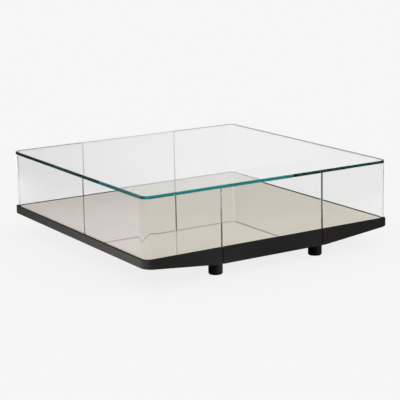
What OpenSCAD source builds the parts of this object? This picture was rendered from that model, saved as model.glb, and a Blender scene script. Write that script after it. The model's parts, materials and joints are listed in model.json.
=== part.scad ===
// Square glass case coffee table on a low base with a mirror floor and two shallow drawers.
// Millimetres, +Z up, front towards -Y. The origin is on the floor, under the middle of the table.

/* [Overall] */
// Width of the base, from side to side
table_w = 1200; // [1080:10:1400]
// Depth of the base, from front to back
table_d = 1200; // [1100:10:1400]
// Height of the top face above the floor
table_h = 368; // [300:2:460]

/* [Glass] */
// Thickness of the top slab
top_t = 12; // [8:1:19]
// Thickness of the case walls
wall_t = 10; // [8:1:12]
// How far the glass stands in from the base's outer faces
glass_inset = 8; // [6:1:12]
// Outer radius of the glass corners
glass_corner_r = 28; // [22:1:60]
// Upright gap between a pane and the bent end beside it
pane_gap = 2; // [1:0.5:4]
// Running gap between a pane and the top slab
pane_top_gap = 1; // [0.5:0.5:3]
// Thickness of the mirror
mirror_t = 4; // [3:1:6]
// Gap round the mirror and the deck
mirror_gap = 0.75; // [0.5:0.25:2]
// Thickness of the setting seal under the glass
seal_t = 1; // [0.5:0.5:2]

/* [Base] */
// Height of the mirror floor above the ground
mirror_h = 116; // [104:1:140]
// Thickness of the base in its flat middle
belly_t = 64; // [62:1:76]
// Thickness of the base at its two ends
end_t = 31; // [28:1:44]
// Width of a drawer front, which is also the width of a pane
front_w = 492; // [420:4:600]
// Width of the battens inside the end rails
batten_w = 14; // [13:1:20]
// Gap between two battens at a corner
batten_gap = 0.5; // [0.25:0.25:0.75]
// Depth of the rebate that the bent glass stands in
rebate_d = 6; // [4:1:10]
// Play between the glass and the lip of its rebate
rebate_play = 0.5; // [0.25:0.25:1]
// Thickness of the deck under the mirror
deck_t = 12; // [9:1:16]
// Thickness of the underside skins
skin_t = 3; // [2:0.5:4]
// Gap round the underside skins
skin_gap = 0.5; // [0.25:0.25:1]
// Thickness of a rib
rib_t = 18; // [12:1:24]

/* [Frame] */
// Width of a bearer tube
bearer_w = 30; // [26:1:40]
// Wall of the bearer and cross member tubes
tube_wall = 2; // [1.5:0.5:3]
// Width of the cross member
cross_w = 40; // [30:1:60]
// Thickness of a corner bracket
bracket_t = 3; // [2:0.5:4]
// Length of a corner bracket's legs
bracket_leg = 32; // [28:1:40]
// Height of a corner bracket
bracket_h = 28; // [24:1:30]

/* [Feet] */
// Diameter of a foot
foot_dia = 58; // [46:1:64]
// Set-back of a foot's centre from the base's front face
foot_setback = 55; // [50:1:90]
// Thickness of a glide
glide_t = 3; // [2:0.5:5]
// How far a glide stands in from the foot's edge
glide_rim = 3; // [2:0.5:6]
// Diameter of the foot studs
stud_dia = 8; // [6:1:10]
// Depth of a stud in its foot
stud_depth = 25; // [15:1:30]

/* [Drawers] */
// Gap between a closed drawer and the cross member
box_back_gap = 42; // [20:1:60]
// Thickness of the drawer's sides, back and sub-front
board_t = 12; // [10:1:14]
// Thickness of the drawer's bottom
bottom_t = 4; // [3:1:6]
// Height of the finger lip under the drawer's bottom
lip_h = 10; // [8:1:12]
// Running gap between the drawer box and the deck
box_top_gap = 3; // [2:0.5:4]
// Gap between the drawer front and the end rails
front_gap = 2; // [1:0.5:4]
// Height of the glass that the drawer front holds
pane_hold = 36; // [30:1:40]
// Width of the finger pull in the underside
pull_w = 380; // [200:10:390]
// Depth of the finger pull, from the drawer front inwards
pull_d = 35; // [28:1:50]
// How far a runner ends before the drawer's back
runner_end = 24; // [10:1:60]
// Height of a runner's fixed channel
runner_h = 27; // [24:1:28]
// Space that a runner takes beside the drawer
runner_space = 12.5; // [12:0.5:14]
// Sheet thickness of the runners
runner_wall = 2; // [1.5:0.25:2.5]
// Running gap between the runner's two members
runner_gap = 0.4; // [0.2:0.1:0.6]

/* [Fasteners] */
// Shank diameter of the deck, skin, bracket and drawer screws
screw_dia = 4; // [3:0.5:5]
// Head diameter of those screws
screw_head_dia = 8; // [7:0.5:9]
// Height of a screw head
screw_head_h = 1.5; // [1:0.25:2]
// Play round every screw, stud and head
screw_play = 0.1; // [0.05:0.05:0.2]

/* [Hidden] */

round_fn = 96;
hole_fn = 32;
hex_fn = 6;
// Least radius of an inner corner
corner_r_min = 2;
// How far every cut runs past the face it opens
overrun = 1;

// Half sizes of the plan
half_w = table_w / 2;
half_d = table_d / 2;
half_front = front_w / 2;
end_start = half_front + front_gap;
glass_start = half_front + pane_gap;

// Heights of the stack, from the top down
slab_z = table_h - top_t;
deck_top = mirror_h - mirror_t;
deck_z = deck_top - deck_t;
rebate_z = mirror_h - rebate_d;
end_z = mirror_h - end_t;
belly_z = mirror_h - belly_t;
skin_top = belly_z + skin_t;

// Plan insets from the base's outer faces
base_r = glass_corner_r + glass_inset;
lip_inset = glass_inset - rebate_play;
// The end rails and drawer fronts are as thick as the glass on them reaches inwards
rail_t = glass_inset + wall_t;
floor_inset = rail_t + mirror_gap;
batten_inset = rail_t + batten_w;

// The bearers stand over the feet, and the underside folds at their outer faces
bearer_x = half_front + front_gap / 2;
bearer_in = bearer_x - bearer_w / 2;
fold_x = bearer_x + bearer_w / 2;
slope = (end_z - belly_z) / (half_w - fold_x);
slope_angle = atan(slope);
function under_z(x) = belly_z + max(0, x - fold_x) * slope;

// Ribs stand between a bearer and the batten of an end rail
rib_end = half_w - batten_inset;
rib_pitch_share = 0.64;
rib_pitch = (half_d - batten_inset) * rib_pitch_share;
rib_mid = (fold_x + rib_end) / 2;

// Feet, their studs and nuts
foot_y = half_d - foot_setback;
glide_dia = foot_dia - 2 * glide_rim;
foot_bore = stud_dia + 2 * screw_play;
nut_rim = 2.5;
nut_h = 6.5;
nut_corner_dia = (stud_dia + 2 * nut_rim) / cos(30);
stud_tip = 2.5;
stud_end = skin_top + tube_wall + nut_h + stud_tip;
access_play = 2.5;
access_dia = nut_corner_dia + 2 * access_play;

// The drawer box, seen at the front, closed
box_top = deck_z - box_top_gap;
box_z = belly_z + lip_h;
board_z = box_z + bottom_t;
board_h = box_top - board_z;
box_half = bearer_in - runner_space;
box_y = -half_d + rail_t;
side_y = box_y + board_t;
box_back = -cross_w / 2 - box_back_gap;
pane_seat = mirror_h - pane_hold;
pane_z = pane_seat + seal_t;

// Runners, centred on the height of the drawer's sides
runner_setback = 4;
runner_y = side_y + runner_setback;
runner_l = box_back - runner_end - runner_y;
runner_z = board_z + (board_h - runner_h) / 2;
runner_mid = runner_z + runner_h / 2;
moving_h = runner_h - 2 * (runner_wall + runner_gap);
tip_gap = 2;
fixed_reach = runner_space - runner_wall - tip_gap - runner_gap;
moving_reach = runner_space - runner_wall - tip_gap;
runner_screw_head_dia = 7;
runner_screw_head_h = 1.2;
runner_screw_l = 9;
fixed_screw_l = 5;
runner_screw_shares = [0.08, 0.5, 0.92];

// Screws
hole_dia = screw_dia + 2 * screw_play;
head_hole_dia = screw_head_dia + 2 * screw_play;
deck_screw_l = 18;
skin_screw_l = 8;
bracket_screw_l = 8;
front_screw_l = 24;
bearer_screw_shares = [-0.76, -0.26, 0.26, 0.76];
batten_screw_shares = [-0.7, 0, 0.7];
skin_rib_shares = [0.28, 0.78];
skin_bearer_shares = [-0.52, -0.1, 0.1, 0.52];
front_screw_shares = [-0.75, -0.25, 0.25, 0.75];
bracket_screw_shares = [0.25, 0.75];
rail_y = half_d - batten_inset;

// Places of the deck screws
deck_screw_places = concat(
  [for (s = [-1, 1], k = bearer_screw_shares) [s * bearer_x, k * rail_y]],
  [for (s = [-1, 1], k = batten_screw_shares) [s * (rib_end + batten_w / 2), k * rail_y]],
  [for (s = [-1, 1], k = [-1, 0, 1]) [s * rib_mid, k * rib_pitch]]
);

glass_colour = [0.75, 0.9, 0.88, 0.35];
black_colour = [0.1, 0.1, 0.11];
steel_colour = [0.7, 0.71, 0.72];
board_colour = [0.45, 0.38, 0.3];

// Shapes that several pieces share

// A rounded rectangle, a given inset from the base's outer faces
module plan(inset) {
  w = table_w - 2 * inset;
  d = table_d - 2 * inset;
  r = max(base_r - inset, corner_r_min);
  square([w - 2 * r, d], center = true);
  square([w, d - 2 * r], center = true);
  for (x = [-1, 1], y = [-1, 1])
    translate([x * (w / 2 - r), y * (d / 2 - r)]) circle(r = r, $fn = round_fn);
}

// The plan between two insets, kept from one place in X outwards
module end_ring(outer, inner, start) {
  intersection() {
    difference() {
      plan(outer);
      plan(inner);
    }
    translate([start, -half_d]) square([half_w - start, table_d]);
  }
}

// A shape drawn in X and Z, as deep as the table
module side_profile(points) {
  rotate([90, 0, 0]) linear_extrude(table_d, center = true) polygon(points);
}

// A block between two corners
module block(low, high) {
  translate(low) cube(high - low);
}

// A screw that points down: its head's upper face is at the origin
module screw_solid(length, head_dia, head_h) {
  translate([0, 0, -head_h]) cylinder(d = head_dia, h = head_h, $fn = hole_fn);
  translate([0, 0, -length]) cylinder(d = screw_dia, h = length - head_h, $fn = hole_fn);
}

// The hole for that screw, open above its head
module screw_hole(length, head_dia, head_h) {
  translate([0, 0, -head_h]) cylinder(d = head_dia + 2 * screw_play, h = head_h + overrun, $fn = hole_fn);
  translate([0, 0, -length - screw_play])
    cylinder(d = hole_dia, h = length + screw_play + overrun, $fn = hole_fn);
}

module left_side() {
  rotate([0, 0, 180]) children();
}

module each_foot() {
  for (x = [-1, 1], y = [-1, 1]) translate([x * bearer_x, y * foot_y, 0]) children();
}

module each_deck_screw() {
  for (p = deck_screw_places) translate([p[0], p[1], deck_top]) children();
}

// Skin screws point up, so their frames are turned over
module each_flat_skin_screw() {
  for (x = [-1, 1], k = skin_bearer_shares)
    translate([x * bearer_x, k * rail_y, belly_z]) rotate([180, 0, 0]) children();
}

module each_sloped_skin_screw() {
  for (k = [-1, 0, 1], s = skin_rib_shares) {
    x = fold_x + s * (rib_end - fold_x);
    translate([x, k * rib_pitch, under_z(x)])
      rotate([0, -slope_angle, 0]) rotate([180, 0, 0]) children();
  }
}

// Bracket screws, seen at the front right corner: one row in the bearer and one in the batten
bracket_z = (skin_top + deck_z - bracket_h) / 2;
module each_bracket_screw() {
  for (s = bracket_screw_shares) {
    z = bracket_z + s * bracket_h;
    translate([fold_x + bracket_t, -rail_y + bracket_leg / 2, z]) rotate([0, 90, 0]) children();
    translate([fold_x + bracket_leg / 2, -rail_y + bracket_t, z]) rotate([-90, 0, 0]) children();
  }
}

module each_corner() {
  for (x = [0, 1], y = [0, 1]) mirror([x, 0, 0]) mirror([0, y, 0]) children();
}

// Frames of the runner screws on the right side of the front drawer
module each_fixed_runner_screw() {
  for (s = runner_screw_shares)
    translate([bearer_in - runner_wall, runner_y + s * runner_l, runner_mid])
      rotate([0, -90, 0]) children();
}

module each_moving_runner_screw() {
  for (s = runner_screw_shares)
    translate([box_half + runner_wall, runner_y + s * runner_l, runner_mid])
      rotate([0, 90, 0]) children();
}

// Frames of the four screws from the sub-front into the drawer front
front_screw_z = board_z + (pane_seat - board_z) / 2;
module each_front_screw() {
  for (s = front_screw_shares)
    translate([s * half_front, side_y, front_screw_z]) rotate([-90, 0, 0]) children();
}

// Glass case

module top_glass() {
  color(glass_colour) translate([0, 0, slab_z]) linear_extrude(top_t) plan(glass_inset);
}

module end_glass() {
  z = rebate_z + seal_t;
  color(glass_colour) translate([0, 0, z])
    linear_extrude(slab_z - z) end_ring(glass_inset, rail_t, glass_start);
}

module glass_seal() {
  color(black_colour) translate([0, 0, rebate_z])
    linear_extrude(seal_t) end_ring(glass_inset, rail_t, glass_start);
}

module mirror_panel() {
  color([0.79, 0.77, 0.72]) translate([0, 0, deck_top]) linear_extrude(mirror_t) plan(floor_inset);
}

module deck_panel() {
  color(board_colour) difference() {
    translate([0, 0, deck_z]) linear_extrude(deck_t) plan(floor_inset);
    each_deck_screw() screw_hole(deck_screw_l, screw_head_dia, screw_head_h);
  }
}

// Base

module end_rail() {
  color(black_colour) difference() {
    intersection() {
      translate([0, 0, belly_z]) linear_extrude(belly_t) end_ring(0, rail_t, end_start);
      side_profile([
        [end_start, belly_z], [fold_x, belly_z], [half_w, end_z],
        [half_w, mirror_h], [end_start, mirror_h]
      ]);
    }
    // The rebate for the bent glass
    translate([0, 0, rebate_z]) linear_extrude(belly_t) plan(lip_inset);
  }
}

// One batten inside an end rail, between the deck above and the skin below
module batten(low, high) {
  color(board_colour) difference() {
    intersection() {
      translate([0, 0, skin_top]) linear_extrude(deck_z - skin_top) intersection() {
        plan(rail_t);
        translate(low) square(high - low);
      }
      side_profile([
        [end_start, skin_top], [fold_x, skin_top], [half_w, end_z + skin_t],
        [half_w, deck_z], [end_start, deck_z]
      ]);
    }
    each_deck_screw() screw_hole(deck_screw_l, screw_head_dia, screw_head_h);
    each_corner() each_bracket_screw() screw_hole(bracket_screw_l, screw_head_dia, screw_head_h);
  }
}

// Three battens in each end rail, with a small gap at each corner between them
module rail_battens() {
  for (turn = [0, 180]) rotate([0, 0, turn]) {
    for (back = [0, 1]) mirror([0, back, 0])
      batten([end_start, -half_d + rail_t], [half_w - rail_t, -rail_y]);
    batten([rib_end, -rail_y + batten_gap], [half_w - rail_t, rail_y - batten_gap]);
  }
}

module bearer() {
  color(steel_colour) difference() {
    block([bearer_in, -rail_y, skin_top], [fold_x, rail_y, deck_z]);
    block(
      [bearer_in + tube_wall, -rail_y - overrun, skin_top + tube_wall],
      [fold_x - tube_wall, rail_y + overrun, deck_z - tube_wall]
    );
    each_foot() {
      cylinder(d = foot_bore, h = skin_top + tube_wall + overrun, $fn = hole_fn);
      translate([0, 0, deck_z - tube_wall - overrun])
        cylinder(d = access_dia, h = tube_wall + 2 * overrun, $fn = hole_fn);
    }
    each_deck_screw() screw_hole(deck_screw_l, screw_head_dia, screw_head_h);
    each_flat_skin_screw() screw_hole(skin_screw_l, screw_head_dia, screw_head_h);
    each_corner() each_bracket_screw() screw_hole(bracket_screw_l, screw_head_dia, screw_head_h);
    for (turn = [0, 1]) mirror([0, turn, 0])
      each_fixed_runner_screw() screw_hole(fixed_screw_l, runner_screw_head_dia, runner_screw_head_h);
  }
}

module cross_member() {
  color(steel_colour) difference() {
    block([-bearer_in, -cross_w / 2, skin_top], [bearer_in, cross_w / 2, deck_z]);
    block(
      [-bearer_in - overrun, -cross_w / 2 + tube_wall, skin_top + tube_wall],
      [bearer_in + overrun, cross_w / 2 - tube_wall, deck_z - tube_wall]
    );
  }
}

// One tapered rib, a number of pitches behind the middle
module rib(place) {
  color(board_colour) difference() {
    translate([0, place * rib_pitch + rib_t / 2, 0]) rotate([90, 0, 0]) linear_extrude(rib_t)
      polygon([
        [fold_x, skin_top], [rib_end, under_z(rib_end) + skin_t], [rib_end, deck_z], [fold_x, deck_z]
      ]);
    each_deck_screw() screw_hole(deck_screw_l, screw_head_dia, screw_head_h);
    each_sloped_skin_screw() screw_hole(skin_screw_l, screw_head_dia, screw_head_h);
  }
}

module side_skin() {
  low = fold_x + skin_gap;
  color(black_colour) difference() {
    intersection() {
      translate([0, 0, belly_z]) linear_extrude(belly_t) intersection() {
        plan(rail_t + skin_gap);
        translate([low, -half_d]) square([half_w, table_d]);
      }
      side_profile([
        [low, under_z(low)], [half_w, end_z], [half_w, end_z + skin_t], [low, under_z(low) + skin_t]
      ]);
    }
    each_sloped_skin_screw() screw_hole(skin_screw_l, screw_head_dia, screw_head_h);
  }
}

module centre_skin() {
  y = half_d - rail_t - skin_gap;
  color(black_colour) difference() {
    block([-fold_x, -y, belly_z], [fold_x, y, skin_top]);
    for (s = [-1, 1]) translate([0, s * y, belly_z + skin_t / 2])
      cube([pull_w, 2 * (pull_d - skin_gap), skin_t + 2 * overrun], center = true);
    each_foot() cylinder(d = foot_bore, h = skin_top + overrun, $fn = hole_fn);
    each_flat_skin_screw() screw_hole(skin_screw_l, screw_head_dia, screw_head_h);
  }
}

module rail_brackets() {
  color(steel_colour) each_corner() difference() {
    union() {
      block(
        [fold_x, -rail_y, bracket_z],
        [fold_x + bracket_t, -rail_y + bracket_leg, bracket_z + bracket_h]
      );
      block(
        [fold_x, -rail_y, bracket_z],
        [fold_x + bracket_leg, -rail_y + bracket_t, bracket_z + bracket_h]
      );
    }
    each_bracket_screw() screw_hole(bracket_screw_l, screw_head_dia, 0);
  }
}

// Feet

module foot(x, y) {
  color([0.06, 0.06, 0.06]) translate([x * bearer_x, y * foot_y, 0]) difference() {
    translate([0, 0, glide_t]) cylinder(d = foot_dia, h = belly_z - glide_t, $fn = round_fn);
    translate([0, 0, belly_z - stud_depth])
      cylinder(d = foot_bore, h = stud_depth + overrun, $fn = hole_fn);
  }
}

module foot_glides() {
  color([0.2, 0.2, 0.2]) each_foot() cylinder(d = glide_dia, h = glide_t, $fn = round_fn);
}

module foot_studs() {
  low = belly_z - stud_depth;
  color(steel_colour) each_foot() translate([0, 0, low])
    cylinder(d = stud_dia, h = stud_end - low, $fn = hole_fn);
}

module foot_nuts() {
  color(steel_colour) each_foot() translate([0, 0, skin_top + tube_wall]) difference() {
    cylinder(d = nut_corner_dia, h = nut_h, $fn = hex_fn);
    translate([0, 0, -overrun]) cylinder(d = foot_bore, h = nut_h + 2 * overrun, $fn = hole_fn);
  }
}

// Runners, drawn on the right side of the front drawer

module fixed_runner() {
  color(steel_colour) difference() {
    block(
      [bearer_in - runner_wall - fixed_reach, runner_y, runner_z],
      [bearer_in, runner_y + runner_l, runner_z + runner_h]
    );
    block(
      [bearer_in - runner_wall - fixed_reach - overrun, runner_y - overrun, runner_z + runner_wall],
      [bearer_in - runner_wall, runner_y + runner_l + overrun, runner_z + runner_h - runner_wall]
    );
    each_fixed_runner_screw() screw_hole(fixed_screw_l, runner_screw_head_dia, runner_screw_head_h);
  }
}

module moving_runner() {
  low = runner_mid - moving_h / 2;
  color(steel_colour) difference() {
    block([box_half, runner_y, low], [box_half + moving_reach, runner_y + runner_l, low + moving_h]);
    block(
      [box_half + runner_wall, runner_y - overrun, low + runner_wall],
      [box_half + moving_reach + overrun, runner_y + runner_l + overrun, low + moving_h - runner_wall]
    );
    each_moving_runner_screw() screw_hole(runner_screw_l, runner_screw_head_dia, runner_screw_head_h);
  }
}

// Drawer, drawn at the front

module drawer_front() {
  color(black_colour) difference() {
    block([-half_front, -half_d, belly_z], [half_front, box_y, mirror_h]);
    block(
      [-half_front - overrun, -half_d + lip_inset, pane_seat],
      [half_front + overrun, box_y + overrun, mirror_h + overrun]
    );
    each_front_screw() screw_hole(front_screw_l, screw_head_dia, screw_head_h);
  }
}

module pane() {
  color(glass_colour) block(
    [-half_front, -half_d + glass_inset, pane_z],
    [half_front, -half_d + rail_t, slab_z - pane_top_gap]
  );
}

module pane_seal() {
  color(black_colour) block(
    [-half_front, -half_d + glass_inset, pane_seat],
    [half_front, -half_d + rail_t, pane_z]
  );
}

module drawer_sub_front() {
  color(board_colour) difference() {
    block([-half_front, box_y, board_z], [half_front, side_y, box_top]);
    each_front_screw() screw_hole(front_screw_l, screw_head_dia, screw_head_h);
  }
}

module drawer_side() {
  color(board_colour) difference() {
    block([box_half - board_t, side_y, board_z], [box_half, box_back, box_top]);
    each_moving_runner_screw() screw_hole(runner_screw_l, runner_screw_head_dia, runner_screw_head_h);
  }
}

module drawer_back() {
  inner = box_half - board_t;
  color(board_colour)
    block([-inner, box_back - board_t, board_z], [inner, box_back, box_top]);
}

module drawer_bottom() {
  color(board_colour) block([-box_half, box_y, box_z], [box_half, box_back, board_z]);
}

// Screws

module deck_screws() {
  color(steel_colour) each_deck_screw() screw_solid(deck_screw_l, screw_head_dia, screw_head_h);
}

module skin_screws() {
  color(black_colour) {
    each_flat_skin_screw() screw_solid(skin_screw_l, screw_head_dia, screw_head_h);
    each_sloped_skin_screw() screw_solid(skin_screw_l, screw_head_dia, screw_head_h);
    left_side() each_sloped_skin_screw() screw_solid(skin_screw_l, screw_head_dia, screw_head_h);
  }
}

module bracket_screws() {
  color(steel_colour) each_corner() each_bracket_screw()
    translate([0, 0, screw_head_h]) screw_solid(bracket_screw_l + screw_head_h, screw_head_dia, screw_head_h);
}

module fixed_runner_screws() {
  color(steel_colour) each_corner() each_fixed_runner_screw()
    screw_solid(fixed_screw_l, runner_screw_head_dia, runner_screw_head_h);
}

module drawer_screws() {
  color(steel_colour) {
    each_front_screw() screw_solid(front_screw_l, screw_head_dia, screw_head_h);
    for (x = [0, 1]) mirror([x, 0, 0]) each_moving_runner_screw()
      screw_solid(runner_screw_l, runner_screw_head_dia, runner_screw_head_h);
  }
}

top_glass();
left_side() end_glass();  // left_end_glass
end_glass();  // right_end_glass
mirror_panel();
deck_panel();
left_side() end_rail();  // left_end_rail
end_rail();  // right_end_rail
rail_battens();
left_side() glass_seal();  // left_glass_seal
glass_seal();  // right_glass_seal
left_side() bearer();  // left_bearer
bearer();  // right_bearer
cross_member();
left_side() rib(1);  // left_rib_front
left_side() rib(0);  // left_rib_middle
left_side() rib(-1);  // left_rib_rear
rib(-1);  // right_rib_front
rib(0);  // right_rib_middle
rib(1);  // right_rib_rear
left_side() side_skin();  // left_skin
centre_skin();
side_skin();  // right_skin
rail_brackets();
foot(-1, -1);  // front_left_foot
foot(1, -1);  // front_right_foot
foot(-1, 1);  // rear_left_foot
foot(1, 1);  // rear_right_foot
foot_glides();
foot_studs();
foot_nuts();
mirror([1, 0, 0]) fixed_runner();  // front_left_fixed_runner
fixed_runner();  // front_right_fixed_runner
rotate([0, 0, 180]) fixed_runner();  // rear_left_fixed_runner
mirror([0, 1, 0]) fixed_runner();  // rear_right_fixed_runner
deck_screws();
skin_screws();
bracket_screws();
fixed_runner_screws();
drawer_front();  // front_drawer_front
pane();  // front_pane
pane_seal();  // front_pane_seal
drawer_sub_front();  // front_drawer_sub_front
mirror([1, 0, 0]) drawer_side();  // front_drawer_left_side
drawer_side();  // front_drawer_right_side
drawer_back();  // front_drawer_back
drawer_bottom();  // front_drawer_bottom
mirror([1, 0, 0]) moving_runner();  // front_left_moving_runner
moving_runner();  // front_right_moving_runner
drawer_screws();  // front_drawer_screws
rotate([0, 0, 180]) drawer_front();  // rear_drawer_front
rotate([0, 0, 180]) pane();  // rear_pane
rotate([0, 0, 180]) pane_seal();  // rear_pane_seal
rotate([0, 0, 180]) drawer_sub_front();  // rear_drawer_sub_front
rotate([0, 0, 180]) drawer_side();  // rear_drawer_left_side
mirror([0, 1, 0]) drawer_side();  // rear_drawer_right_side
rotate([0, 0, 180]) drawer_back();  // rear_drawer_back
rotate([0, 0, 180]) drawer_bottom();  // rear_drawer_bottom
rotate([0, 0, 180]) moving_runner();  // rear_left_moving_runner
mirror([0, 1, 0]) moving_runner();  // rear_right_moving_runner
rotate([0, 0, 180]) drawer_screws();  // rear_drawer_screws
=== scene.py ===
import json
import math

import bmesh
import bpy
from mathutils import Matrix, Vector


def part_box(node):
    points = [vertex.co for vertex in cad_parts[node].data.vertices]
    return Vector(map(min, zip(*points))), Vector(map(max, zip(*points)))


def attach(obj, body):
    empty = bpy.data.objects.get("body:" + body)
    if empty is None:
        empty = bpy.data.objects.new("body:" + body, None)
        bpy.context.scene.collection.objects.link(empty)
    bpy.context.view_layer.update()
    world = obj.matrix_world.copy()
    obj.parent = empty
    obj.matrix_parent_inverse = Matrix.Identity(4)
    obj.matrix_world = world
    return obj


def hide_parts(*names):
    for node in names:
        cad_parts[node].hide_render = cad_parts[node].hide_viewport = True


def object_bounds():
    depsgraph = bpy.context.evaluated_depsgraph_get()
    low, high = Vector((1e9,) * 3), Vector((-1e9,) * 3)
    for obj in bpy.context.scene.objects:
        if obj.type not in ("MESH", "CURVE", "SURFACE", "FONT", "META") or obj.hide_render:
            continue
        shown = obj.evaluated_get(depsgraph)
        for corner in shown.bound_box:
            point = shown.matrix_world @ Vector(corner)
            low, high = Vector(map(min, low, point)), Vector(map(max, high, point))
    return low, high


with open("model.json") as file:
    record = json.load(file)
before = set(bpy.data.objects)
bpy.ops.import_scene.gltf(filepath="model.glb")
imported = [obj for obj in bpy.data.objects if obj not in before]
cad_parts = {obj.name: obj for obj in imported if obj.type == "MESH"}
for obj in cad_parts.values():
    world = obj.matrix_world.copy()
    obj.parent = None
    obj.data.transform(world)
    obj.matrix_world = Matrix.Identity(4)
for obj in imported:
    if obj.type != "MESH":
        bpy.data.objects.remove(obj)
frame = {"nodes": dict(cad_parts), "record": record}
CAD_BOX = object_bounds()

MM = 0.001
MICRON = 0.000001


# Camera: the photograph's viewpoint, fitted to the table's edges, with its lens and sensor in millimetres

CAMERA_PLACE = Vector((-2.95521, -4.79123, 1.44974))
CAMERA_YAW = math.radians(-31.88589)
CAMERA_PITCH = math.radians(12.84050)
CAMERA_ROLL = math.radians(-1.12172)
CAMERA_LENS = 117.99
SENSOR_WIDTH = 36.0
CLIP_NEAR = 0.05
CLIP_FAR = 200.0


def make_camera():
    """Yaw turns the camera from +Y toward -X, pitch turns it down, and roll tilts the picture."""
    data = bpy.data.cameras.new("camera")
    data.sensor_fit = "HORIZONTAL"
    data.sensor_width = SENSOR_WIDTH
    data.lens = CAMERA_LENS
    data.clip_start = CLIP_NEAR
    data.clip_end = CLIP_FAR
    camera = bpy.data.objects.new("camera", data)
    bpy.context.scene.collection.objects.link(camera)
    yaw, pitch, roll = CAMERA_YAW, CAMERA_PITCH, CAMERA_ROLL
    ahead = Vector((-math.sin(yaw) * math.cos(pitch), math.cos(yaw) * math.cos(pitch), -math.sin(pitch)))
    level = Vector((math.cos(yaw), math.sin(yaw), 0.0))
    above = level.cross(ahead)
    side = level * math.cos(roll) + above * math.sin(roll)
    up = above * math.cos(roll) - level * math.sin(roll)
    turn = Matrix((side, up, -ahead)).transposed().to_4x4()
    camera.matrix_world = Matrix.Translation(CAMERA_PLACE) @ turn
    bpy.context.scene.camera = camera


# Shader helpers

# Nearly all values of a noise lie between these two
NOISE_LOW = 0.3
NOISE_HIGH = 0.7
# A mix node's colour sockets share their names with others, so they are found by number
MIX_FIRST = 6
MIX_SECOND = 7
MIX_RESULT = 2


def new_material(name):
    material = bpy.data.materials.new(name)
    material.use_nodes = True
    tree = material.node_tree
    tree.nodes.clear()
    output = tree.nodes.new("ShaderNodeOutputMaterial")
    return material, tree, output


def link(tree, source, target):
    tree.links.new(source, target)


def object_noise(tree, scale, detail=2.0, stretch=(1.0, 1.0, 1.0)):
    place = tree.nodes.new("ShaderNodeTexCoord")
    mapping = tree.nodes.new("ShaderNodeMapping")
    mapping.inputs["Scale"].default_value = stretch
    noise = tree.nodes.new("ShaderNodeTexNoise")
    noise.inputs["Scale"].default_value = scale
    noise.inputs["Detail"].default_value = detail
    link(tree, place.outputs["Object"], mapping.inputs["Vector"])
    link(tree, mapping.outputs["Vector"], noise.inputs["Vector"])
    return noise.outputs["Fac"]


def map_range(tree, value, start, end, low=0.0, high=1.0):
    """Maps the range from start to end onto the range from low to high, and holds it beyond both."""
    node = tree.nodes.new("ShaderNodeMapRange")
    node.inputs["From Min"].default_value = start
    node.inputs["From Max"].default_value = end
    node.inputs["To Min"].default_value = low
    node.inputs["To Max"].default_value = high
    link(tree, value, node.inputs["Value"])
    return node


def spread(tree, noise, low, high):
    """Spreads a noise over the range from low to high."""
    return map_range(tree, noise, NOISE_LOW, NOISE_HIGH, low, high).outputs["Result"]


def smooth_step(tree, value, start, end):
    """Nothing at start, one at end, eased between them."""
    node = map_range(tree, value, start, end)
    node.interpolation_type = "SMOOTHSTEP"
    return node.outputs["Result"]


def colour_mix(tree, factor, first, second):
    mix = tree.nodes.new("ShaderNodeMix")
    mix.data_type = "RGBA"
    mix.inputs[MIX_FIRST].default_value = (*first, 1.0)
    mix.inputs[MIX_SECOND].default_value = (*second, 1.0)
    link(tree, factor, mix.inputs["Factor"])
    return mix.outputs[MIX_RESULT]


def bump(tree, height, depth):
    node = tree.nodes.new("ShaderNodeBump")
    node.inputs["Distance"].default_value = depth
    link(tree, height, node.inputs["Height"])
    return node.outputs["Normal"]


def principled(tree, output):
    shader = tree.nodes.new("ShaderNodeBsdfPrincipled")
    link(tree, shader.outputs["BSDF"], output.inputs["Surface"])
    return shader


# Materials

GLASS_IOR = 1.52
STREAK_SCALE = 3.0
STREAK_STRETCH = (1.0, 1.0, 4.0)
MIRROR_LOW_TINT = (0.703, 0.642, 0.518)
MIRROR_HIGH_TINT = (0.710, 0.649, 0.525)
MIRROR_ROUGHNESS = 0.003
MIRROR_CLOUD_SCALE = 2.2
MIRROR_CLOUD_DETAIL = 3.0
MIRROR_GRAIN_SCALE = 40.0
TONE_DETAIL = 4.0
FINE_DETAIL = 3.0
# How much finer the noise of roughness and relief is than the noise of the tone
FINER = 7.0


def glass_material(name, tint_low, tint_high, depth_colour, density):
    """Polished glass: clear through its faces, with its own colour along the thick way to an edge."""
    material, tree, output = new_material(name)
    shader = principled(tree, output)
    shader.inputs["Transmission Weight"].default_value = 1.0
    shader.inputs["Roughness"].default_value = 0.0
    shader.inputs["IOR"].default_value = GLASS_IOR
    streak = object_noise(tree, STREAK_SCALE, stretch=STREAK_STRETCH)
    tint = colour_mix(tree, spread(tree, streak, 0.0, 1.0), tint_low, tint_high)
    link(tree, tint, shader.inputs["Base Color"])
    body = tree.nodes.new("ShaderNodeVolumeAbsorption")
    body.inputs["Color"].default_value = (*depth_colour, 1.0)
    body.inputs["Density"].default_value = density
    link(tree, body.outputs["Volume"], output.inputs["Volume"])
    return material


def mirror():
    """The mirror floor: a champagne-toned mirror, nearly without roughness."""
    material, tree, output = new_material("mirror")
    shader = principled(tree, output)
    cloud = object_noise(tree, MIRROR_CLOUD_SCALE, MIRROR_CLOUD_DETAIL)
    tint = colour_mix(tree, spread(tree, cloud, 0.0, 1.0), MIRROR_LOW_TINT, MIRROR_HIGH_TINT)
    link(tree, tint, shader.inputs["Base Color"])
    shader.inputs["Metallic"].default_value = 1.0
    grain = object_noise(tree, MIRROR_GRAIN_SCALE)
    link(tree, spread(tree, grain, 0.0, MIRROR_ROUGHNESS), shader.inputs["Roughness"])
    return material


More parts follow.
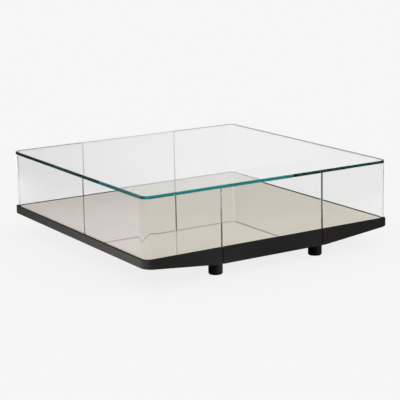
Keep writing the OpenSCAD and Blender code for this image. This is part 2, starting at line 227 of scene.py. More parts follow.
def plain_material(name, dark, pale, roughness, scale, relief, metallic=0.0, specular=0.5,
                   stretch=(1.0, 1.0, 1.0)):
    """An opaque material: a cloudy tone, with fine noise in its roughness and in a shallow relief."""
    material, tree, output = new_material(name)
    shader = principled(tree, output)
    cloud = object_noise(tree, scale, TONE_DETAIL, stretch)
    link(tree, colour_mix(tree, spread(tree, cloud, 0.0, 1.0), dark, pale), shader.inputs["Base Color"])
    fine = object_noise(tree, scale * FINER, FINE_DETAIL, stretch)
    link(tree, spread(tree, fine, *roughness), shader.inputs["Roughness"])
    shader.inputs["Metallic"].default_value = metallic
    shader.inputs["Specular IOR Level"].default_value = specular
    link(tree, bump(tree, fine, relief), shader.inputs["Normal"])
    return material


def clear_glass():
    """The walls: nearly colourless glass."""
    return glass_material("clear_glass", tint_low=(0.994, 0.985, 0.984), tint_high=(0.998, 0.989, 0.988),
                          depth_colour=(0.0, 0.68, 0.68), density=1.3)


def top_glass():
    """The top slab: a slightly tinted glass, deep teal along its edge."""
    return glass_material("top_glass", tint_low=(0.992, 0.9425, 0.9425), tint_high=(0.996, 0.9465, 0.9465),
                          depth_colour=(0.0, 0.715, 0.715), density=3.6)


def mirror_back():
    """Dark paint on the back and the edges of the mirror."""
    return plain_material("mirror_back", dark=(0.012, 0.011, 0.010), pale=(0.018, 0.017, 0.016),
                          roughness=(0.50, 0.62), scale=80.0, relief=4.0 * MICRON)


def black_lacquer():
    """Satin lacquer on the black faces of the base."""
    return plain_material("black_lacquer", dark=(0.0130, 0.0121, 0.0111), pale=(0.0150, 0.0139, 0.0128),
                          roughness=(0.42, 0.48), scale=14.0, relief=4.0 * MICRON, specular=0.6)


def matt_lip():
    """The same lacquer where it is rubbed matt, on the level top of the lip."""
    return plain_material("matt_lip", dark=(0.0250, 0.0235, 0.0220), pale=(0.0280, 0.0263, 0.0247),
                          roughness=(0.60, 0.70), scale=60.0, relief=4.0 * MICRON, specular=0.1)


def black_skin():
    """Black paint on the sheets under the base."""
    return plain_material("black_skin", dark=(0.012, 0.012, 0.013), pale=(0.017, 0.017, 0.018),
                          roughness=(0.42, 0.52), scale=30.0, relief=40.0 * MICRON)


def foot_black():
    """Glossy black of the turned feet."""
    return plain_material("foot_black", dark=(0.0012, 0.0011, 0.0011), pale=(0.0022, 0.0020, 0.0020),
                          roughness=(0.16, 0.22), scale=60.0, relief=4.0 * MICRON, specular=0.4)


def glide():
    """Matt black plastic of the foot glides."""
    return plain_material("glide", dark=(0.010, 0.010, 0.010), pale=(0.018, 0.018, 0.018),
                          roughness=(0.60, 0.75), scale=90.0, relief=50.0 * MICRON)


def seal():
    """Dark rubber of the seals under the glass."""
    return plain_material("seal", dark=(0.010, 0.010, 0.011), pale=(0.016, 0.016, 0.017),
                          roughness=(0.45, 0.60), scale=120.0, relief=20.0 * MICRON)


def frame_steel():
    """Black-painted steel of the bearers and the cross member."""
    return plain_material("frame_steel", dark=(0.020, 0.020, 0.021), pale=(0.030, 0.030, 0.031),
                          roughness=(0.38, 0.50), scale=35.0, relief=40.0 * MICRON)


def zinc_steel():
    """Zinc-plated steel of the brackets, studs, nuts and screws."""
    return plain_material("zinc_steel", dark=(0.50, 0.51, 0.52), pale=(0.62, 0.62, 0.61),
                          roughness=(0.24, 0.38), scale=90.0, relief=20.0 * MICRON, metallic=1.0)


def runner_steel():
    """Bright drawn steel of the drawer runners, with its grain along them."""
    return plain_material("runner_steel", dark=(0.55, 0.56, 0.57), pale=(0.66, 0.66, 0.66),
                          roughness=(0.22, 0.34), scale=60.0, relief=20.0 * MICRON, metallic=1.0,
                          stretch=(8.0, 0.6, 8.0))


def board():
    """Black-stained board of the deck, the battens, the ribs and the drawer boxes."""
    return plain_material("board", dark=(0.020, 0.020, 0.021), pale=(0.032, 0.031, 0.031),
                          roughness=(0.48, 0.62), scale=45.0, relief=30.0 * MICRON)


MATERIALS = {
    "clear_glass": clear_glass(),
    "top_glass": top_glass(),
    "mirror": mirror(),
    "mirror_back": mirror_back(),
    "black_lacquer": black_lacquer(),
    "matt_lip": matt_lip(),
    "black_skin": black_skin(),
    "foot_black": foot_black(),
    "glide": glide(),
    "seal": seal(),
    "frame_steel": frame_steel(),
    "zinc_steel": zinc_steel(),
    "runner_steel": runner_steel(),
    "board": board(),
}


# Sizes of the table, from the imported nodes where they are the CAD's. T is a thickness and R a radius

TOP_LOW, TOP_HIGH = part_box("top_glass")
END_LOW, END_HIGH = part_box("right_end_glass")
PANE_LOW, PANE_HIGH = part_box("front_pane")
RAIL_LOW, RAIL_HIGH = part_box("right_end_rail")
DRAWER_LOW, DRAWER_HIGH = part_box("front_drawer_front")
MIRROR_LOW, MIRROR_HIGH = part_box("mirror_panel")

GLASS_HALF = TOP_HIGH.x
GLASS_T = PANE_HIGH.y - PANE_LOW.y
SLAB_R = 28.0 * MM
ARRIS = 0.8 * MM
# A bend's tightest radius, and the share of its length over which its curvature eases in, and out again
BEND_R = 30.0 * MM
RIGHT_SHOULDER = 0.15
LEFT_SHOULDER = 0.50
MIRROR_ARRIS = 0.4 * MM
# The mirror's top lies this much lower than the CAD's
MIRROR_SINK = 1.6 * MM

BASE_HALF = RAIL_HIGH.x
BASE_R = 36.0 * MM
RAIL_T = DRAWER_HIGH.y - DRAWER_LOW.y
RAIL_ARRIS = 0.5 * MM
RAIL_TOP = RAIL_HIGH.z
# The lip stands this much higher than the CAD's along the front and left sides
NEAR_LIFT = 5.0 * MM
LIP_T = 7.5 * MM
LIP_EASE = 0.5 * MM
EDGE_R = 3.0 * MM
# Floors of the rebates that take the glass, 1 mm under it
REBATE_Z = END_LOW.z - 1.0 * MM
PANE_REBATE_Z = PANE_LOW.z - 1.0 * MM
# The underside is level as far as BREAK_X and rises from there to END_BOTTOM at the ends
BREAK_X = 262.0 * MM
BOTTOM = RAIL_LOW.z - 1.0 * MM
END_BOTTOM = 84.0 * MM
LOW_EASE = 1.0 * MM
# A face belongs to the lip's matt top, or to the mirror's silvered top, if its normal rises more than this
LIP_RISE = 0.25
MIRROR_RISE = 0.5

# Every joint is wider than the CAD's by JOINT_EASE on each side, the front right one of the glass by
# WIDE_EASE more. The front joints stand further right than the CAD's, in the glass by LEFT_SHIFT and
# RIGHT_SHIFT, and in the black faces the left one by RAIL_SHIFT.
JOINT_EASE = 0.8 * MM
WIDE_EASE = 2.0 * MM
LEFT_SHIFT = 3.5 * MM
RIGHT_SHIFT = 2.0 * MM
RAIL_SHIFT = 2.5 * MM

FOOT_EASE = 1.2 * MM
FOOT_EASE_START = -72.0
FOOT_TOP_EASE = 0.3 * MM


# Mesh helpers. A plan is a list of stations, each a point and the level direction inward from it

ARC_STEPS = 28
BEND_STEPS = 40
FINE_STEPS = 40
EDGE_STEPS = 6
FOOT_STEPS = 4
LATHE_STEPS = 72
SHARP_ANGLE = math.radians(24.0)
NORMAL_WEIGHT = 80
FORWARD = Vector((0.0, -1.0))
BACKWARD = Vector((0.0, 1.0))


def finish_mesh(name, builder):
    """Makes an object of the built mesh, smooth all over except across its sharp edges."""
    bmesh.ops.recalc_face_normals(builder, faces=builder.faces[:])
    for face in builder.faces:
        face.smooth = True
    for edge in builder.edges:
        if len(edge.link_faces) == 2 and edge.calc_face_angle(0.0) > SHARP_ANGLE:
            edge.smooth = False
    mesh = bpy.data.meshes.new(name)
    builder.to_mesh(mesh)
    builder.free()
    piece = bpy.data.objects.new(name, mesh)
    bpy.context.scene.collection.objects.link(piece)
    return piece


def weigh_normals(piece):
    """Lets the large flat faces set the shading of the narrow ones beside them."""
    modifier = piece.modifiers.new("weighted_normals", "WEIGHTED_NORMAL")
    modifier.keep_sharp = True
    modifier.weight = NORMAL_WEIGHT


def join_rings(builder, rings):
    """Joins each closed ring of corners to the next one with four-sided faces."""
    for first, second in zip(rings, rings[1:]):
        for i in range(len(first)):
            j = (i + 1) % len(first)
            builder.faces.new((first[i], first[j], second[j], second[i]))


def inset_loop(points, distance):
    """Moves every side of a closed loop inward by a distance."""
    count = len(points)
    area = sum(points[i][0] * points[(i + 1) % count][1] - points[(i + 1) % count][0] * points[i][1]
               for i in range(count))
    turn = 1.0 if area > 0.0 else -1.0
    result = []
    for i in range(count):
        here = Vector(points[i])
        before = (here - Vector(points[i - 1])).normalized()
        after = (Vector(points[(i + 1) % count]) - here).normalized()
        # The inward normals of the sides before and after this corner
        first = Vector((-before.y, before.x)) * turn
        second = Vector((-after.y, after.x)) * turn
        result.append(tuple(here + (first + second) * distance / (1.0 + first.dot(second))))
    return result


def round_corner(centre, radius, start, end, steps):
    """Points along an arc, from one angle in degrees to another."""
    points = []
    for i in range(steps + 1):
        angle = math.radians(start + (end - start) * i / steps)
        points.append((centre[0] + radius * math.cos(angle), centre[1] + radius * math.sin(angle)))
    return points


def arc_stations(centre, radius, start, end):
    """Stations round a plain corner, from one angle in degrees to another."""
    stations = []
    for spot in round_corner((0.0, 0.0), 1.0, start, end, ARC_STEPS):
        outward = Vector(spot)
        stations.append((Vector(centre) + outward * radius, -outward))
    return stations


def slab_plan():
    """The plan of the top slab, a square with round corners, anticlockwise."""
    inner = GLASS_HALF - SLAB_R
    plan = []
    for side_x, side_y, start in ((1, 1, 0.0), (-1, 1, 90.0), (-1, -1, 180.0), (1, -1, 270.0)):
        plan += arc_stations((inner * side_x, inner * side_y), SLAB_R, start, start + 90.0)
    return plan


def rail_plan(first_x, last_x):
    """The plan of the right-hand rail, from its front joint round both corners to its rear joint."""
    inner = BASE_HALF - BASE_R
    front = [(Vector((x, -BASE_HALF)), BACKWARD) for x in (first_x, BREAK_X)]
    rear = [(Vector((x, BASE_HALF)), FORWARD) for x in (BREAK_X, last_x)]
    first = arc_stations((inner, -inner), BASE_R, -90.0, 0.0)
    second = arc_stations((inner, inner), BASE_R, 0.0, 90.0)
    return front + first + second + rear


def soft_bend(shoulder):
    """A quarter bend of hot-bent glass, whose curvature eases in and out. It heads along +X first and ends
    along +Y, and lists its points from its start, each with its heading."""
    length = math.pi / 2.0 * BEND_R / (1.0 - shoulder)
    step = length / (BEND_STEPS * FINE_STEPS)
    place = Vector((0.0, 0.0))
    heading = 0.0
    listed = [(place.copy(), heading)]
    for i in range(BEND_STEPS):
        for j in range(FINE_STEPS):
            share = (i * FINE_STEPS + j + 0.5) / (BEND_STEPS * FINE_STEPS)
            ease = min(1.0, min(share, 1.0 - share) / shoulder)
            turn = math.sin(math.pi / 2.0 * ease) ** 2 / BEND_R * step
            middle = heading + turn / 2.0
            place = place + Vector((math.cos(middle), math.sin(middle))) * step
            heading += turn
        listed.append((place.copy(), heading))
    return listed


def bent_plan(first_x, last_x, shoulder):
    """The plan of the right-hand glass, from its front joint round both bends to its rear joint."""
    bend = soft_bend(shoulder)
    start = Vector((GLASS_HALF - bend[-1][0].x, -GLASS_HALF))
    first = []
    for place, heading in bend:
        first.append((start + place, Vector((-math.sin(heading), math.cos(heading)))))
    second = []
    for point, inward in reversed(first):
        second.append((Vector((point.x, -point.y)), Vector((inward.x, -inward.y))))
    front = [(Vector((first_x, -GLASS_HALF)), BACKWARD)]
    rear = [(Vector((last_x, GLASS_HALF)), FORWARD)]
    return front + first + second + rear


def mirror_plan(inset):
    """The plan that lies inset inside the two bent glasses, anticlockwise."""
    plan = []
    for shoulder, sign in ((RIGHT_SHOULDER, 1.0), (LEFT_SHOULDER, -1.0)):
        for point, inward in bent_plan(0.0, 0.0, shoulder)[1:-1]:
            plan.append(((point + inward * inset) * sign, inward * sign))
    return plan


def sweep(name, stations, profile, arris, turned):
    """A closed strip whose section profile(point) lists (inset, z) pairs, swept along the stations. Both its
    end faces have an arris. A turned strip is turned half round the table's upright axis."""
    sections = []
    last = len(stations) - 1
    for i, (point, inward) in enumerate(stations):
        if i not in (0, last):
            sections.append((point, inward, profile(point)))
            continue
        neighbour = stations[1][0] if i == 0 else stations[last - 1][0]
        beside = point + (neighbour - point).normalized() * arris
        pair = [(point, inward, inset_loop(profile(point), arris)), (beside, inward, profile(beside))]
        sections += pair if i == 0 else reversed(pair)
    side = -1.0 if turned else 1.0
    builder = bmesh.new()
    rings = []
    for point, inward, loop in sections:
        ring = []
        for inset, z in loop:
            spot = (point + inward * inset) * side
            ring.append(builder.verts.new((spot.x, spot.y, z)))
        rings.append(ring)
    join_rings(builder, rings)
    builder.faces.new(rings[0])
    builder.faces.new(list(reversed(rings[-1])))
    return finish_mesh(name, builder)


def plate(name, plan, levels):
    """A level slab on a plan: levels lists (inset, z) pairs from the lowest ring to the highest."""
    builder = bmesh.new()
    rings = []
    for inset, z in levels:
        rings.append([builder.verts.new((*(point + inward * inset), z)) for point, inward in plan])
    join_rings(builder, rings)
    builder.faces.new(list(reversed(rings[0])))
    builder.faces.new(rings[-1])
    return finish_mesh(name, builder)


def lathe(name, centre, outline):
    """A turned shape: outline lists (radius, z) pairs from the lower centre to the upper centre."""
    builder = bmesh.new()
    rings = []
    for radius, z in outline[1:-1]:
        ring = []
        for i in range(LATHE_STEPS):
            angle = 2.0 * math.pi * i / LATHE_STEPS
            x = centre[0] + radius * math.cos(angle)
            y = centre[1] + radius * math.sin(angle)
            ring.append(builder.verts.new((x, y, z)))
        rings.append(ring)
    low = builder.verts.new((*centre, outline[0][1]))
    high = builder.verts.new((*centre, outline[-1][1]))
    join_rings(builder, rings)
    for i in range(LATHE_STEPS):
        j = (i + 1) % LATHE_STEPS
        builder.faces.new((low, rings[0][j], rings[0][i]))
        builder.faces.new((high, rings[-1][i], rings[-1][j]))
    return finish_mesh(name, builder)


# Sections of the glass and of the base's black faces, as (inset, z) pairs

def glass_section(low, high):
    """A sheet of glass on edge, from one height to another, with an arris at each of its four edges."""
    return [
        (0.0, low + ARRIS), (0.0, high - ARRIS),
        (ARRIS, high), (GLASS_T - ARRIS, high),
        (GLASS_T, high - ARRIS), (GLASS_T, low + ARRIS),
        (GLASS_T - ARRIS, low), (ARRIS, low),
    ]


def rail_bottom(x):
    """The underside's height: level in the middle, rising toward the two ends."""
    share = max(0.0, abs(x) - BREAK_X) / (BASE_HALF - BREAK_X)
    return BOTTOM + (END_BOTTOM - BOTTOM) * share


def lip_top(x, y):
    """The lip's height: lifted along the front and left sides, easing down round the front right and the
    rear left corner."""
    share = min(1.0, max(0.0, 0.5 - (x + y) / (2.0 * BASE_R)))
    return RAIL_TOP + NEAR_LIFT * share * share * (3.0 - 2.0 * share)


def base_section(point, turned, rebate):
    """A black face of the base: rounded over its top edge, with the lip in front of the glass, the rebate
    behind the lip and the underside at its height for this point."""
    side = -1.0 if turned else 1.0
    low = rail_bottom(point.x)
    top = lip_top(side * point.x, side * point.y)
    return round_corner((EDGE_R, top - EDGE_R), EDGE_R, 180.0, 90.0, EDGE_STEPS) + [
        (LIP_T - LIP_EASE, top), (LIP_T, top - LIP_EASE), (LIP_T, rebate),
        (RAIL_T, rebate), (RAIL_T, low + LOW_EASE), (RAIL_T - LOW_EASE, low),
        (LOW_EASE, low), (0.0, low + LOW_EASE),
    ]


# The pieces

def put(piece, body, slot, *nodes, look=None):
    """Gives a piece the material named by its look, or else by its slot, and its body, and hides
    the CAD nodes it takes the place of.
    """
    piece.data.materials.append(MATERIALS[look or slot])
    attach(piece, body)
    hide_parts(*nodes)


def make_slab():
    low, high = TOP_LOW.z, TOP_HIGH.z
    levels = [(ARRIS, low), (0.0, low + ARRIS), (0.0, high - ARRIS), (ARRIS, high)]
    slab = plate("top_glass_slab", slab_plan(), levels)
    weigh_normals(slab)
    put(slab, "table", "clear_glass", "top_glass", look="top_glass")


def make_end_glasses():
    """The left glass is turned half round, so its last joint is the one at the table's front."""
    section = glass_section(END_LOW.z, END_HIGH.z)
    edge = END_LOW.x + JOINT_EASE
    right_edges = (edge + RIGHT_SHIFT + WIDE_EASE, edge)
    left_edges = (edge, edge - LEFT_SHIFT)
    for name, edges, shoulder, turned in (
        ("right_end_glass", right_edges, RIGHT_SHOULDER, False),
        ("left_end_glass", left_edges, LEFT_SHOULDER, True),
    ):
        stations = bent_plan(*edges, shoulder)
        sheet = sweep(name + "_bent", stations, lambda point: section, ARRIS, turned)
        put(sheet, "table", "clear_glass", name)


def straight_run(left, right, y):
    """The plan of a straight piece along the front."""
    return [(Vector((left, y)), BACKWARD), (Vector((right, y)), BACKWARD)]


def make_panes():
    section = glass_section(PANE_LOW.z, PANE_HIGH.z)
    half = PANE_HIGH.x - JOINT_EASE
    for side, left, right, turned in (
        ("front", LEFT_SHIFT - half, RIGHT_SHIFT + half, False),
        ("rear", -half, half, True),
    ):
        run = straight_run(left, right, PANE_LOW.y)
        pane = sweep(side + "_pane_sheet", run, lambda point: section, ARRIS, turned)
        put(pane, side + "_drawer", "clear_glass", side + "_pane")


def add_lip(piece):
    """The level top of the lip is rubbed matt, so it has a material of its own."""
    piece.data.materials.append(MATERIALS["matt_lip"])
    for face in piece.data.polygons:
        if face.normal.z > LIP_RISE and face.center.z > RAIL_TOP - EDGE_R:
            face.material_index = 1


def make_end_rails():
    """The left rail is turned half round, so its last joint is the one at the table's front."""
    edge = RAIL_LOW.x + JOINT_EASE
    for name, last_x, turned in (
        ("right_end_rail", edge, False),
        ("left_end_rail", edge - RAIL_SHIFT, True),
    ):
        stations = rail_plan(edge, last_x)
        rail = sweep(name + "_eased", stations, lambda point: base_section(point, turned, REBATE_Z),
                     RAIL_ARRIS, turned)
        weigh_normals(rail)
        put(rail, "table", "black_lacquer", name)
        add_lip(rail)


def make_drawer_fronts():
    half = DRAWER_HIGH.x - JOINT_EASE
    for name, left, turned in (("front", RAIL_SHIFT - half, False), ("rear", -half, True)):
        run = straight_run(left, half, DRAWER_LOW.y)
        front = sweep(name + "_rail_eased", run, lambda point: base_section(point, turned, PANE_REBATE_Z),
                      RAIL_ARRIS, turned)
        weigh_normals(front)
        put(front, name + "_drawer", "black_lacquer", name + "_drawer_front")
        add_lip(front)


def make_mirror():
    low, high = MIRROR_LOW.z, MIRROR_HIGH.z - MIRROR_SINK
    cut = MIRROR_ARRIS
    levels = [(cut, low), (0.0, low + cut), (0.0, high - cut), (cut, high)]
    sheet = plate("mirror_sheet", mirror_plan(GLASS_HALF - MIRROR_HIGH.x), levels)
    put(sheet, "table", "mirror", "mirror_panel")
    sheet.data.materials.append(MATERIALS["mirror_back"])
    for face in sheet.data.polygons:
        if face.normal.z < MIRROR_RISE:
            face.material_index = 1


def make_feet():
    for node in ("front_left_foot", "front_right_foot", "rear_left_foot", "rear_right_foot"):
        low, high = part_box(node)
        centre = ((low.x + high.x) / 2.0, (low.y + high.y) / 2.0)
        radius = (high.x - low.x) / 2.0
        turn = (radius - FOOT_EASE, low.z + FOOT_EASE)
        outline = [(0.0, low.z), (radius - FOOT_EASE, low.z)]
        outline += round_corner(turn, FOOT_EASE, FOOT_EASE_START, 0.0, FOOT_STEPS)
        outline += [(radius, high.z - FOOT_TOP_EASE), (radius - FOOT_TOP_EASE, high.z), (0.0, high.z)]
        foot = lathe(node + "_turned", centre, outline)
        weigh_normals(foot)
        put(foot, "table", "foot_black", node)


def dress_nodes():
    """Gives every carried-over CAD node the procedural material of its slot."""
    for part in frame["record"]["subparts"]:
        node = frame["nodes"][part["node"]]
        node.data.materials.clear()
        node.data.materials.append(MATERIALS[part["material_slot"]])


# Studio: a pale floor and an even, soft dome, and painted light and shade in their reflections

# Tones as shares of white: the backdrop's; the floor's as seen through glass, paler than the
# backdrop, which is painted light; the painted dark patches'; and the sky's for rough surfaces, dimmer
# than the dome that lights them, which is painted shade in their sheen
BACK = 0.92
THROUGH = 0.99
DIM = 0.10
ROUGH_SKY = 0.50

# The floor's own tone is what the table's shadow falls on. It lies a little below the feet
FLOOR_TONE = 0.09
FLOOR_GRAIN = 0.01
FLOOR_GRAIN_SCALE = 1.5
FLOOR_RADIUS = 45.0
FLOOR_SIDES = 96
FLOOR_GAP = 0.2 * MM

# Directions: level over the table from the photograph's side, that way as an end wall and as the front
# wall reflects it, and to the right of it
ALONG = (0.53, 0.85, 0.0)
ASIDE = (-0.53, 0.85, 0.0)
AHEAD = (0.53, -0.85, 0.0)
ACROSS = (0.849, -0.528, 0.0)
RIGHTWARD = (1.0, 0.0, 0.0)
UPWARD = (0.0, 0.0, 1.0)

# Round pools of painted light on the floor, seen only in reflections: the middle, the outer radius where
# it ends and the inner one where it is full. The pools by the feet paint highlights on the feet. The last
# is a patch that the painted ring of light round the table leaves out
LEFT_POOL = ((-0.85, -0.1, 0.0), 1.65, 0.35)
RIGHT_POOL = ((1.6, -0.3, 0.0), 1.3, 0.8)
REAR_POOL = ((-0.45, 1.65, 0.0), 0.8, 0.4)
FLANK_POOL = ((-0.80, -0.35, 0.0), 0.95, 0.10)
LEFT_FOOT_POOL = ((-0.17, -0.66, 0.0), 0.16, 0.04)
RIGHT_FOOT_POOL = ((0.33, -0.66, 0.0), 0.16, 0.04)
UNLIT_MIDDLE = ((0.0, 0.0, 0.0), 1.3, 0.9)

# Straight edges of the painted light on the floor, each along the axis it is used with: where the light
# starts and where it is full
OUTSIDE_EDGE = (-0.58, -0.72)
BEHIND_EDGE = (1.3, 1.7)
NEAR_EDGE = (0.60, 0.95)
FRONT_EDGE = (-0.3, -0.8)
RING_DIM_EDGE = (-0.05, -0.42)

# Strengths of the painted pools, and the painted tints of the left one in polished and in rough surfaces
LEFT_GLOW = 0.64
BEHIND_GLOW = 0.92
NEAR_GLOW = 0.60
FRONT_GLOW = 0.06
SIDE_GLOW = 0.80
FEET_GLOW = 0.45
RIGHT_FOOT_SHARE = 0.6
FLANK_GLOW = 0.40
EDGE_GLOW = 0.18
RING_DIM = 0.16
POLISHED_TONE = (1.05, 0.93, 1.17)
ROUGH_TONE = (1.06, 1.00, 0.92)

# The backdrop: the soft edge of its painted dark patches, its painted fade toward the left, and as seen
# through the case its tone, how much darker it is low down, which is painted shade, and its paler upright
# band, which is painted light
PATCH_EDGE = (0.72, 0.88)
FRONT_PATCH_SHARE = 0.65
FADE_EDGE = (-0.165, 0.0)
FADE_TONES = (BACK * 0.66, BACK * 0.97)
CASE_SHARE = 0.7
CASE_TONE = BACK * 0.985
LOW_EDGE = (0.255, 0.205)
LOW_DROP = BACK * 0.14
BAND_START = (0.0, 0.05)
BAND_END = (0.13, 0.09)
BAND_LIFT = BACK * 0.06

# Light crosses one face of glass as it enters a sheet and one as it leaves
ONE_SHEET = 2
TWO_SHEETS = 4

# Clear glass and mirror pass light on many times before it leaves the case
BOUNCES = 48
DIFFUSE_BOUNCES = 4
TRANSPARENT_BOUNCES = 16


def math_node(tree, operation, first, second, clamp=False):
    node = tree.nodes.new("ShaderNodeMath")
    node.operation = operation
    node.use_clamp = clamp
    for socket, value in zip(node.inputs, (first, second)):
        if isinstance(value, float):
            socket.default_value = value
        else:
            link(tree, value, socket)
    return node.outputs["Value"]


def combine(tree, operation, first, *others):
    for other in others:
        first = math_node(tree, operation, first, other)
    return first


def product(tree, *values):
    return combine(tree, "MULTIPLY", *values)


def total(tree, *values):
    return combine(tree, "ADD", *values)


def largest(tree, *values):
    return combine(tree, "MAXIMUM", *values)


def remainder(tree, share):
    return math_node(tree, "SUBTRACT", 1.0, share)


def at_least(tree, count, least):
    """One for a whole count of at least so many, else nothing."""
    return math_node(tree, "SUBTRACT", count, least - 1.0, clamp=True)


def at_most(tree, count, most):
    """One for a whole count of at most so many, else nothing."""
    return math_node(tree, "SUBTRACT", most + 1.0, count, clamp=True)


def rough_ray(tree, path):
    """One for light that a rough surface reflects, nothing for light from a polished one."""
    polished = path.outputs["Is Singular Ray"]
    return math_node(tree, "SUBTRACT", path.outputs["Is Glossy Ray"], polished, clamp=True)


def reach(tree, place, axis):
    """How far a place or direction lies along an axis."""
    dot = tree.nodes.new("ShaderNodeVectorMath")
    dot.operation = "DOT_PRODUCT"
    dot.inputs[1].default_value = axis
    link(tree, place, dot.inputs[0])
    return dot.outputs["Value"]


def straight_edge(tree, place, axis, edge):
    """One beyond a straight edge across an axis, easing to nothing before it."""
    return smooth_step(tree, reach(tree, place, axis), *edge)


def pool(tree, spot, middle, outer, inner):
    """One inside a round patch of the floor, easing to nothing at its outer radius."""
    distance = tree.nodes.new("ShaderNodeVectorMath")
    distance.operation = "DISTANCE"
    distance.inputs[1].default_value = middle
    link(tree, spot, distance.inputs[0])
    return smooth_step(tree, distance.outputs["Value"], outer, inner)


def painted_far_light(tree, glossy, crossings, spot):
    """Painted light on the floor far behind the table, seen only in reflections. Light that has crossed
    two sheets of glass finds more: close behind the table if it was reflected once, and if it was
    reflected again a painted ring of light round the table, dimmer to the left."""
    crossed = at_least(tree, crossings, TWO_SHEETS)
    behind = product(tree, straight_edge(tree, spot, ALONG, BEHIND_EDGE), BEHIND_GLOW)
    near = product(tree, straight_edge(tree, spot, ALONG, NEAR_EDGE), NEAR_GLOW)
    near = product(tree, near, crossed, at_most(tree, glossy, 1))
    ring = product(tree, remainder(tree, pool(tree, spot, *UNLIT_MIDDLE)), BEHIND_GLOW)
    ring = product(tree, ring, crossed, at_least(tree, glossy, 2))
    dimming = product(tree, straight_edge(tree, spot, ACROSS, RING_DIM_EDGE), RING_DIM)
    ring = product(tree, ring, remainder(tree, dimming))
    return largest(tree, behind, near, ring)


def painted_pools(tree, path, spot):
    """What reflections show of the floor, all of it painted light: the strength of the tinted pool at the
    left, and of all the white ones. Light that a bend has turned aside just once also finds a pool at the
    right and one at the rear. Rough surfaces find small ones by the feet, painted highlights on them, and
    one at the flank, and polished edges a faint even glow, which is a painted glow in the glass."""
    glossy = path.outputs["Glossy Depth"]
    crossings = path.outputs["Transmission Depth"]
    brief = at_most(tree, crossings, ONE_SHEET)
    outside = straight_edge(tree, spot, RIGHTWARD, OUTSIDE_EDGE)
    # A tinted pool of painted light at the left
    left = product(tree, pool(tree, spot, *LEFT_POOL), LEFT_GLOW, outside)

    front = product(tree, straight_edge(tree, spot, ALONG, FRONT_EDGE), FRONT_GLOW)
    sides = largest(tree, pool(tree, spot, *RIGHT_POOL), pool(tree, spot, *REAR_POOL))
    sides = product(tree, sides, at_most(tree, glossy, 1), brief, path.outputs["Is Singular Ray"], SIDE_GLOW)
    # Painted highlights by the feet and a painted sheen at the flank, for rough surfaces
    right_foot = product(tree, pool(tree, spot, *RIGHT_FOOT_POOL), RIGHT_FOOT_SHARE)
    feet = product(tree, total(tree, pool(tree, spot, *LEFT_FOOT_POOL), right_foot), FEET_GLOW)
    flank = product(tree, pool(tree, spot, *FLANK_POOL), FLANK_GLOW, outside)
    low = product(tree, total(tree, feet, flank), rough_ray(tree, path))
    # A faint painted glow in polished glass edges
    edges = product(tree, at_least(tree, glossy, 4), brief, EDGE_GLOW)
    far = painted_far_light(tree, glossy, crossings, spot)
    return left, total(tree, far, front, low, edges, sides)


def emission(tree, strength):
    node = tree.nodes.new("ShaderNodeEmission")
    link(tree, strength, node.inputs["Strength"])
    return node


def add_shaders(tree, first, second):
    node = tree.nodes.new("ShaderNodeAddShader")
    link(tree, first, node.inputs[0])
    link(tree, second, node.inputs[1])
    return node.outputs["Shader"]


def floor_material():
    """A floor whose own tone takes the table's shadow. It glows to the backdrop's tone for light that goes
    straight to the camera, and a little paler through glass, which is painted light, and in soft pools
    of painted light for light that is reflected on its way."""
    material, tree, output = new_material("floor")
    diffuse = tree.nodes.new("ShaderNodeBsdfDiffuse")
    grain = object_noise(tree, FLOOR_GRAIN_SCALE)
    dark = (FLOOR_TONE * (1.0 - FLOOR_GRAIN),) * 3
    pale = (FLOOR_TONE * (1.0 + FLOOR_GRAIN),) * 3
    link(tree, colour_mix(tree, grain, dark, pale), diffuse.inputs["Color"])

    path = tree.nodes.new("ShaderNodeLightPath")
    place = tree.nodes.new("ShaderNodeTexCoord")
    reflected = at_least(tree, path.outputs["Glossy Depth"], 1)
    direct = product(tree, path.outputs["Is Camera Ray"], BACK - FLOOR_TONE)
    through = product(tree, path.outputs["Is Transmission Ray"], THROUGH - FLOOR_TONE,
                      remainder(tree, reflected))
    # Diffuse rays see none of the painted pools, so the pools light nothing
    seen = largest(tree, path.outputs["Is Glossy Ray"], path.outputs["Is Transmission Ray"])
    reflected = product(tree, reflected, seen)
    left, pools = painted_pools(tree, path, place.outputs["Object"])
    white = emission(tree, total(tree, direct, through, product(tree, reflected, pools)))
    white.inputs["Color"].default_value = (1.0, 1.0, 1.0, 1.0)
    # The left pool's painted light, tinted one way for polished and another for rough surfaces
    tinted = emission(tree, product(tree, reflected, left))
    tone = colour_mix(tree, path.outputs["Is Singular Ray"], ROUGH_TONE, POLISHED_TONE)
    link(tree, tone, tinted.inputs["Color"])
    glow = add_shaders(tree, white.outputs["Emission"], tinted.outputs["Emission"])
    surface = add_shaders(tree, diffuse.outputs["BSDF"], glow)
    link(tree, surface, output.inputs["Surface"])
    return material


def make_floor():
    builder = bmesh.new()
    bmesh.ops.create_circle(builder, cap_ends=True, segments=FLOOR_SIDES, radius=FLOOR_RADIUS)
    mesh = bpy.data.meshes.new("floor")
    builder.to_mesh(mesh)
    builder.free()
    floor = bpy.data.objects.new("floor", mesh)
    floor.location.z = CAD_BOX[0][2] - FLOOR_GAP
    bpy.context.scene.collection.objects.link(floor)
    floor.data.materials.append(floor_material())


def background(tree, tone):
    node = tree.nodes.new("ShaderNodeBackground")
    if isinstance(tone, float):
        node.inputs["Color"].default_value = (tone, tone, tone, 1.0)
    else:
        link(tree, tone, node.inputs["Color"])
    return node.outputs["Background"]


def blend_shaders(tree, factor, first, second):
    mix = tree.nodes.new("ShaderNodeMixShader")
    link(tree, factor, mix.inputs[0])
    link(tree, first, mix.inputs[1])
    link(tree, second, mix.inputs[2])
    return mix.outputs["Shader"]


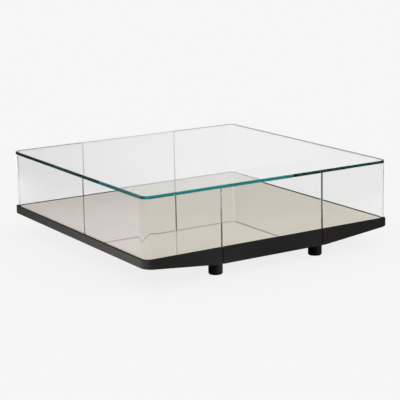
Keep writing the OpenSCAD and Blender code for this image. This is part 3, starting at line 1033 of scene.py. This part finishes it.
def painted_dark_patches(tree, glossy, crossings, way):
    """Dark patches painted into the backdrop at the rear left and the front right, met only by light that
    was reflected more than once, such as the light in a polished edge."""
    few = product(tree, at_least(tree, glossy, 2), at_most(tree, crossings, TWO_SHEETS))
    often = at_least(tree, glossy, 5)
    rear = product(tree, straight_edge(tree, way, ASIDE, PATCH_EDGE), few)
    front = straight_edge(tree, way, AHEAD, PATCH_EDGE)
    front = product(tree, front, largest(tree, often, product(tree, few, FRONT_PATCH_SHARE)))
    return largest(tree, rear, front)


def case_view(tree, reflected, way):
    """The tone of the backdrop as seen through the case: darker low down for light that was reflected, which
    is painted shade, and with a paler upright band, which is painted light."""
    low = product(tree, straight_edge(tree, way, UPWARD, LOW_EDGE), reflected)
    tone = math_node(tree, "SUBTRACT", CASE_TONE, product(tree, low, LOW_DROP))
    band = straight_edge(tree, way, ACROSS, BAND_START)
    band = product(tree, band, straight_edge(tree, way, ACROSS, BAND_END), BAND_LIFT)
    return total(tree, tone, band)


def make_world():
    """An even white dome lights the object. Camera, glass and mirror see a pale backdrop in its place, put
    together in layers for the different ways that light takes to it, with painted dark patches, a painted
    fade, painted shade low down and a painted pale band in what glass and mirror show, and rough surfaces
    a calmer sky, dimmer than the dome, which is painted shade in their sheen."""
    world = bpy.data.worlds.new("studio")
    bpy.context.scene.world = world
    world.use_nodes = True
    tree = world.node_tree
    tree.nodes.clear()
    output = tree.nodes.new("ShaderNodeOutputWorld")
    path = tree.nodes.new("ShaderNodeLightPath")
    glossy = path.outputs["Glossy Depth"]
    crossings = path.outputs["Transmission Depth"]
    way = tree.nodes.new("ShaderNodeTexCoord").outputs["Generated"]

    reflected = at_least(tree, glossy, 1)
    # Painted dark patches in the backdrop
    painted_patches = painted_dark_patches(tree, glossy, crossings, way)
    unpatched = math_node(tree, "SUBTRACT", CASE_SHARE, painted_patches, clamp=True)
    cased = product(tree, at_least(tree, crossings, ONE_SHEET + 1), unpatched)
    direct = largest(tree, product(tree, remainder(tree, reflected), cased), path.outputs["Is Camera Ray"])
    # A painted fade toward the left in what glass and mirror show
    fade = map_range(tree, reach(tree, way, ACROSS), *FADE_EDGE, *FADE_TONES)
    backdrop = background(tree, fade.outputs["Result"])
    for share, tone in (
        (painted_patches, DIM),
        (cased, case_view(tree, reflected, way)),
        (direct, BACK),
        (rough_ray(tree, path), ROUGH_SKY),
    ):
        backdrop = blend_shaders(tree, share, backdrop, background(tree, tone))
    shown = largest(tree, path.outputs["Is Camera Ray"], path.outputs["Is Glossy Ray"],
                    path.outputs["Is Transmission Ray"])
    dome = background(tree, 1.0)
    link(tree, blend_shaders(tree, shown, dome, backdrop), output.inputs["Surface"])


def set_scene():
    scene = bpy.context.scene
    scene.view_settings.view_transform = "Standard"
    scene.cycles.max_bounces = BOUNCES
    scene.cycles.transmission_bounces = BOUNCES
    scene.cycles.glossy_bounces = BOUNCES
    scene.cycles.diffuse_bounces = DIFFUSE_BOUNCES
    scene.cycles.transparent_max_bounces = TRANSPARENT_BOUNCES


make_camera()
dress_nodes()
make_slab()
make_end_glasses()
make_panes()
make_end_rails()
make_drawer_fronts()
make_mirror()
make_feet()
make_floor()
make_world()
set_scene()
